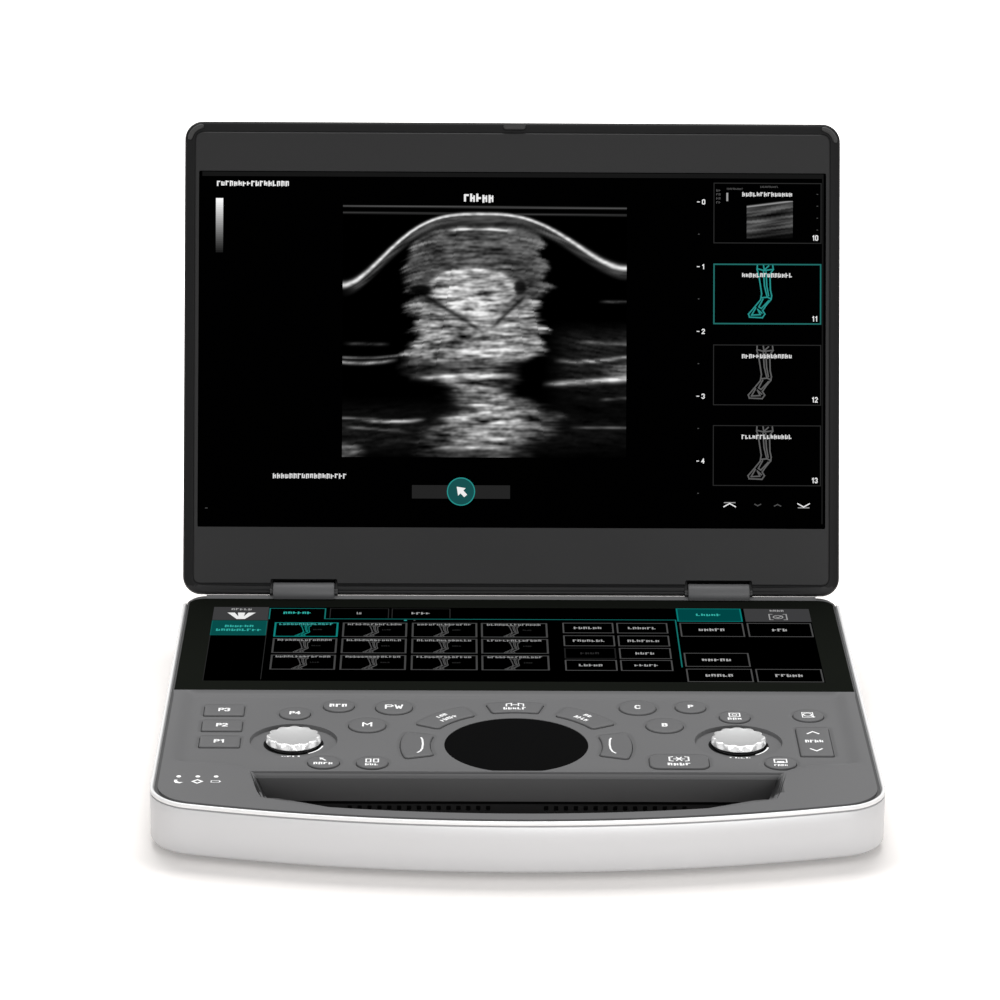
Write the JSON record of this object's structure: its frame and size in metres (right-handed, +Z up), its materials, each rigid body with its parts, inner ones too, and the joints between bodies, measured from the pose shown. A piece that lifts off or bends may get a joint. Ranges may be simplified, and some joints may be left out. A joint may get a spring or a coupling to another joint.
{
  "type": "portable ultrasound scanner",
  "caption": "Laptop-style veterinary ultrasound scanner: hinged display lid, touch screen strip, control panel with keys, turning knobs and a touchpad, and a carry handle in the front.",
  "frame": {"origin": "under the middle of the machine's box with the lid open as stored, on the surface it stands on", "axes": "+Z up, +X to the user's right, +Y from the front edge towards the display"},
  "size_m": [0.3628, 0.4127, 0.2777],
  "materials": {
    "panel_plastic": "satin moulded plastic",
    "silver_band": "satin silver paint",
    "dark_plastic": "satin moulded plastic",
    "black_plastic": "satin moulded plastic",
    "touch_glass": "gloss",
    "display": "gloss",
    "key_plastic": "satin moulded plastic",
    "knob_metal": "satin",
    "hinge_plastic": "satin moulded plastic",
    "pad_plastic": "smooth",
    "rubber": "matt",
    "steel": "machined",
    "board": "solder resist",
    "heat_metal": "extruded",
    "battery": "shrink sleeve",
    "lamp": "clear"
  },
  "bodies": {
    "base": {"battery_cover": "dark_plastic", "battery_pack": "battery", "bottom_cover": "dark_plastic", "case_screws": "steel", "encoders": "black_plastic", "fan_housing": "black_plastic", "front_end_board": "board", "handle_liner": "dark_plastic", "heat_sink": "heat_metal", "hinge_covers": "hinge_plastic", "hinge_frames": "steel", "io_ports": "black_plastic", "key_board": "board", "main_board": "board", "probe_socket": "black_plastic", "rubber_feet": "rubber", "side_band": "silver_band", "speakers": "black_plastic", "status_lenses": "lamp", "tact_switches": "black_plastic", "top_cover": "panel_plastic", "touch_glass": "touch_glass", "touch_lcd": "display", "touchpad": "pad_plastic", "vent_grille": "black_plastic"},
    "fan_rotor": {"fan_rotor": "black_plastic"},
    "left_knob_push": {"left_knob_shaft": "steel"},
    "right_knob_push": {"right_knob_shaft": "steel"},
    "left_knob": {"left_knob": "knob_metal"},
    "right_knob": {"right_knob": "knob_metal"},
    "depth_rocker": {"depth_rocker": "key_plastic"},
    "lid": {"lid_back_cover": "silver_band", "lid_bezel": "dark_plastic", "display_panel": "display", "corner_bumpers": "rubber", "lift_tab": "hinge_plastic", "hinge_arms": "steel"},
    "key_brightness_mode": {"key_brightness_mode": "key_plastic"},
    "key_clear": {"key_clear": "key_plastic"},
    "key_colour_mode": {"key_colour_mode": "key_plastic"},
    "key_cursor": {"key_cursor": "key_plastic"},
    "key_dual_view": {"key_dual_view": "key_plastic"},
    "key_freeze": {"key_freeze": "key_plastic"},
    "key_measure": {"key_measure": "key_plastic"},
    "key_menu": {"key_menu": "key_plastic"},
    "key_motion_mode": {"key_motion_mode": "key_plastic"},
    "key_power_mode": {"key_power_mode": "key_plastic"},
    "key_preset_four": {"key_preset_four": "key_plastic"},
    "key_preset_one": {"key_preset_one": "key_plastic"},
    "key_preset_three": {"key_preset_three": "key_plastic"},
    "key_preset_two": {"key_preset_two": "key_plastic"},
    "key_pulsed_wave": {"key_pulsed_wave": "key_plastic"},
    "key_reset": {"key_reset": "key_plastic"},
    "key_save": {"key_save": "key_plastic"},
    "key_set_left": {"key_set_left": "key_plastic"},
    "key_set_right": {"key_set_right": "key_plastic"},
    "key_update": {"key_update": "key_plastic"},
    "key_zoom": {"key_zoom": "key_plastic"}
  },
  "joints": [
    {"name": "lid_hinge", "type": "hinge", "parent": "base", "child": "lid", "pos_m": [0, 0.10974, 0.03246], "axis": [1, 0, 0], "range_deg": [-20.4, 109.6]},
    {"name": "fan_spin", "type": "hinge", "parent": "base", "child": "fan_rotor", "pos_m": [0.05, -0.11509, 0.008], "axis": [0, 0, 1], "continuous": true},
    {"name": "left_knob_press", "type": "slide", "parent": "base", "child": "left_knob_push", "axis": [0, 0, -1], "range_m": [0, 0.0006], "stiffness_N_per_m": 4000},
    {"name": "left_knob_turn", "type": "hinge", "parent": "left_knob_push", "child": "left_knob", "pos_m": [-0.1125, -0.09689, 0.028], "axis": [0, 0, 1], "continuous": true},
    {"name": "right_knob_press", "type": "slide", "parent": "base", "child": "right_knob_push", "axis": [0, 0, -1], "range_m": [0, 0.0006], "stiffness_N_per_m": 4000},
    {"name": "right_knob_turn", "type": "hinge", "parent": "right_knob_push", "child": "right_knob", "pos_m": [0.1125, -0.09689, 0.028], "axis": [0, 0, 1], "continuous": true},
    {"name": "key_brightness_mode_press", "type": "slide", "parent": "base", "child": "key_brightness_mode", "axis": [0, 0, -1], "range_m": [0, 0.0006], "stiffness_N_per_m": 2500},
    {"name": "key_clear_press", "type": "slide", "parent": "base", "child": "key_clear", "axis": [0, 0, -1], "range_m": [0, 0.0006], "stiffness_N_per_m": 2500},
    {"name": "key_colour_mode_press", "type": "slide", "parent": "base", "child": "key_colour_mode", "axis": [0, 0, -1], "range_m": [0, 0.0006], "stiffness_N_per_m": 2500},
    {"name": "key_cursor_press", "type": "slide", "parent": "base", "child": "key_cursor", "axis": [0, 0, -1], "range_m": [0, 0.0006], "stiffness_N_per_m": 2500},
    {"name": "key_dual_view_press", "type": "slide", "parent": "base", "child": "key_dual_view", "axis": [0, 0, -1], "range_m": [0, 0.0006], "stiffness_N_per_m": 2500},
    {"name": "key_freeze_press", "type": "slide", "parent": "base", "child": "key_freeze", "axis": [0, 0, -1], "range_m": [0, 0.0006], "stiffness_N_per_m": 2500},
    {"name": "key_measure_press", "type": "slide", "parent": "base", "child": "key_measure", "axis": [0, 0, -1], "range_m": [0, 0.0006], "stiffness_N_per_m": 2500},
    {"name": "key_menu_press", "type": "slide", "parent": "base", "child": "key_menu", "axis": [0, 0, -1], "range_m": [0, 0.0006], "stiffness_N_per_m": 2500},
    {"name": "key_motion_mode_press", "type": "slide", "parent": "base", "child": "key_motion_mode", "axis": [0, 0, -1], "range_m": [0, 0.0006], "stiffness_N_per_m": 2500},
    {"name": "key_power_mode_press", "type": "slide", "parent": "base", "child": "key_power_mode", "axis": [0, 0, -1], "range_m": [0, 0.0006], "stiffness_N_per_m": 2500},
    {"name": "key_preset_four_press", "type": "slide", "parent": "base", "child": "key_preset_four", "axis": [0, 0, -1], "range_m": [0, 0.0006], "stiffness_N_per_m": 2500},
    {"name": "key_preset_one_press", "type": "slide", "parent": "base", "child": "key_preset_one", "axis": [0, 0, -1], "range_m": [0, 0.0006], "stiffness_N_per_m": 2500},
    {"name": "key_preset_three_press", "type": "slide", "parent": "base", "child": "key_preset_three", "axis": [0, 0, -1], "range_m": [0, 0.0006], "stiffness_N_per_m": 2500},
    {"name": "key_preset_two_press", "type": "slide", "parent": "base", "child": "key_preset_two", "axis": [0, 0, -1], "range_m": [0, 0.0006], "stiffness_N_per_m": 2500},
    {"name": "key_pulsed_wave_press", "type": "slide", "parent": "base", "child": "key_pulsed_wave", "axis": [0, 0, -1], "range_m": [0, 0.0006], "stiffness_N_per_m": 2500},
    {"name": "key_reset_press", "type": "slide", "parent": "base", "child": "key_reset", "axis": [0, 0, -1], "range_m": [0, 0.0006], "stiffness_N_per_m": 2500},
    {"name": "key_save_press", "type": "slide", "parent": "base", "child": "key_save", "axis": [0, 0, -1], "range_m": [0, 0.0006], "stiffness_N_per_m": 2500},
    {"name": "key_set_left_press", "type": "slide", "parent": "base", "child": "key_set_left", "axis": [0, 0, -1], "range_m": [0, 0.0006], "stiffness_N_per_m": 2500},
    {"name": "key_set_right_press", "type": "slide", "parent": "base", "child": "key_set_right", "axis": [0, 0, -1], "range_m": [0, 0.0006], "stiffness_N_per_m": 2500},
    {"name": "key_update_press", "type": "slide", "parent": "base", "child": "key_update", "axis": [0, 0, -1], "range_m": [0, 0.0006], "stiffness_N_per_m": 2500},
    {"name": "key_zoom_press", "type": "slide", "parent": "base", "child": "key_zoom", "axis": [0, 0, -1], "range_m": [0, 0.0006], "stiffness_N_per_m": 2500},
    {"name": "depth_rocker_tilt", "type": "hinge", "parent": "base", "child": "depth_rocker", "pos_m": [0.15105, -0.09669, 0.0229], "axis": [1, 0, 0], "range_deg": [-1.8, 1.8], "stiffness_Nm_per_rad": 1}
  ]
}
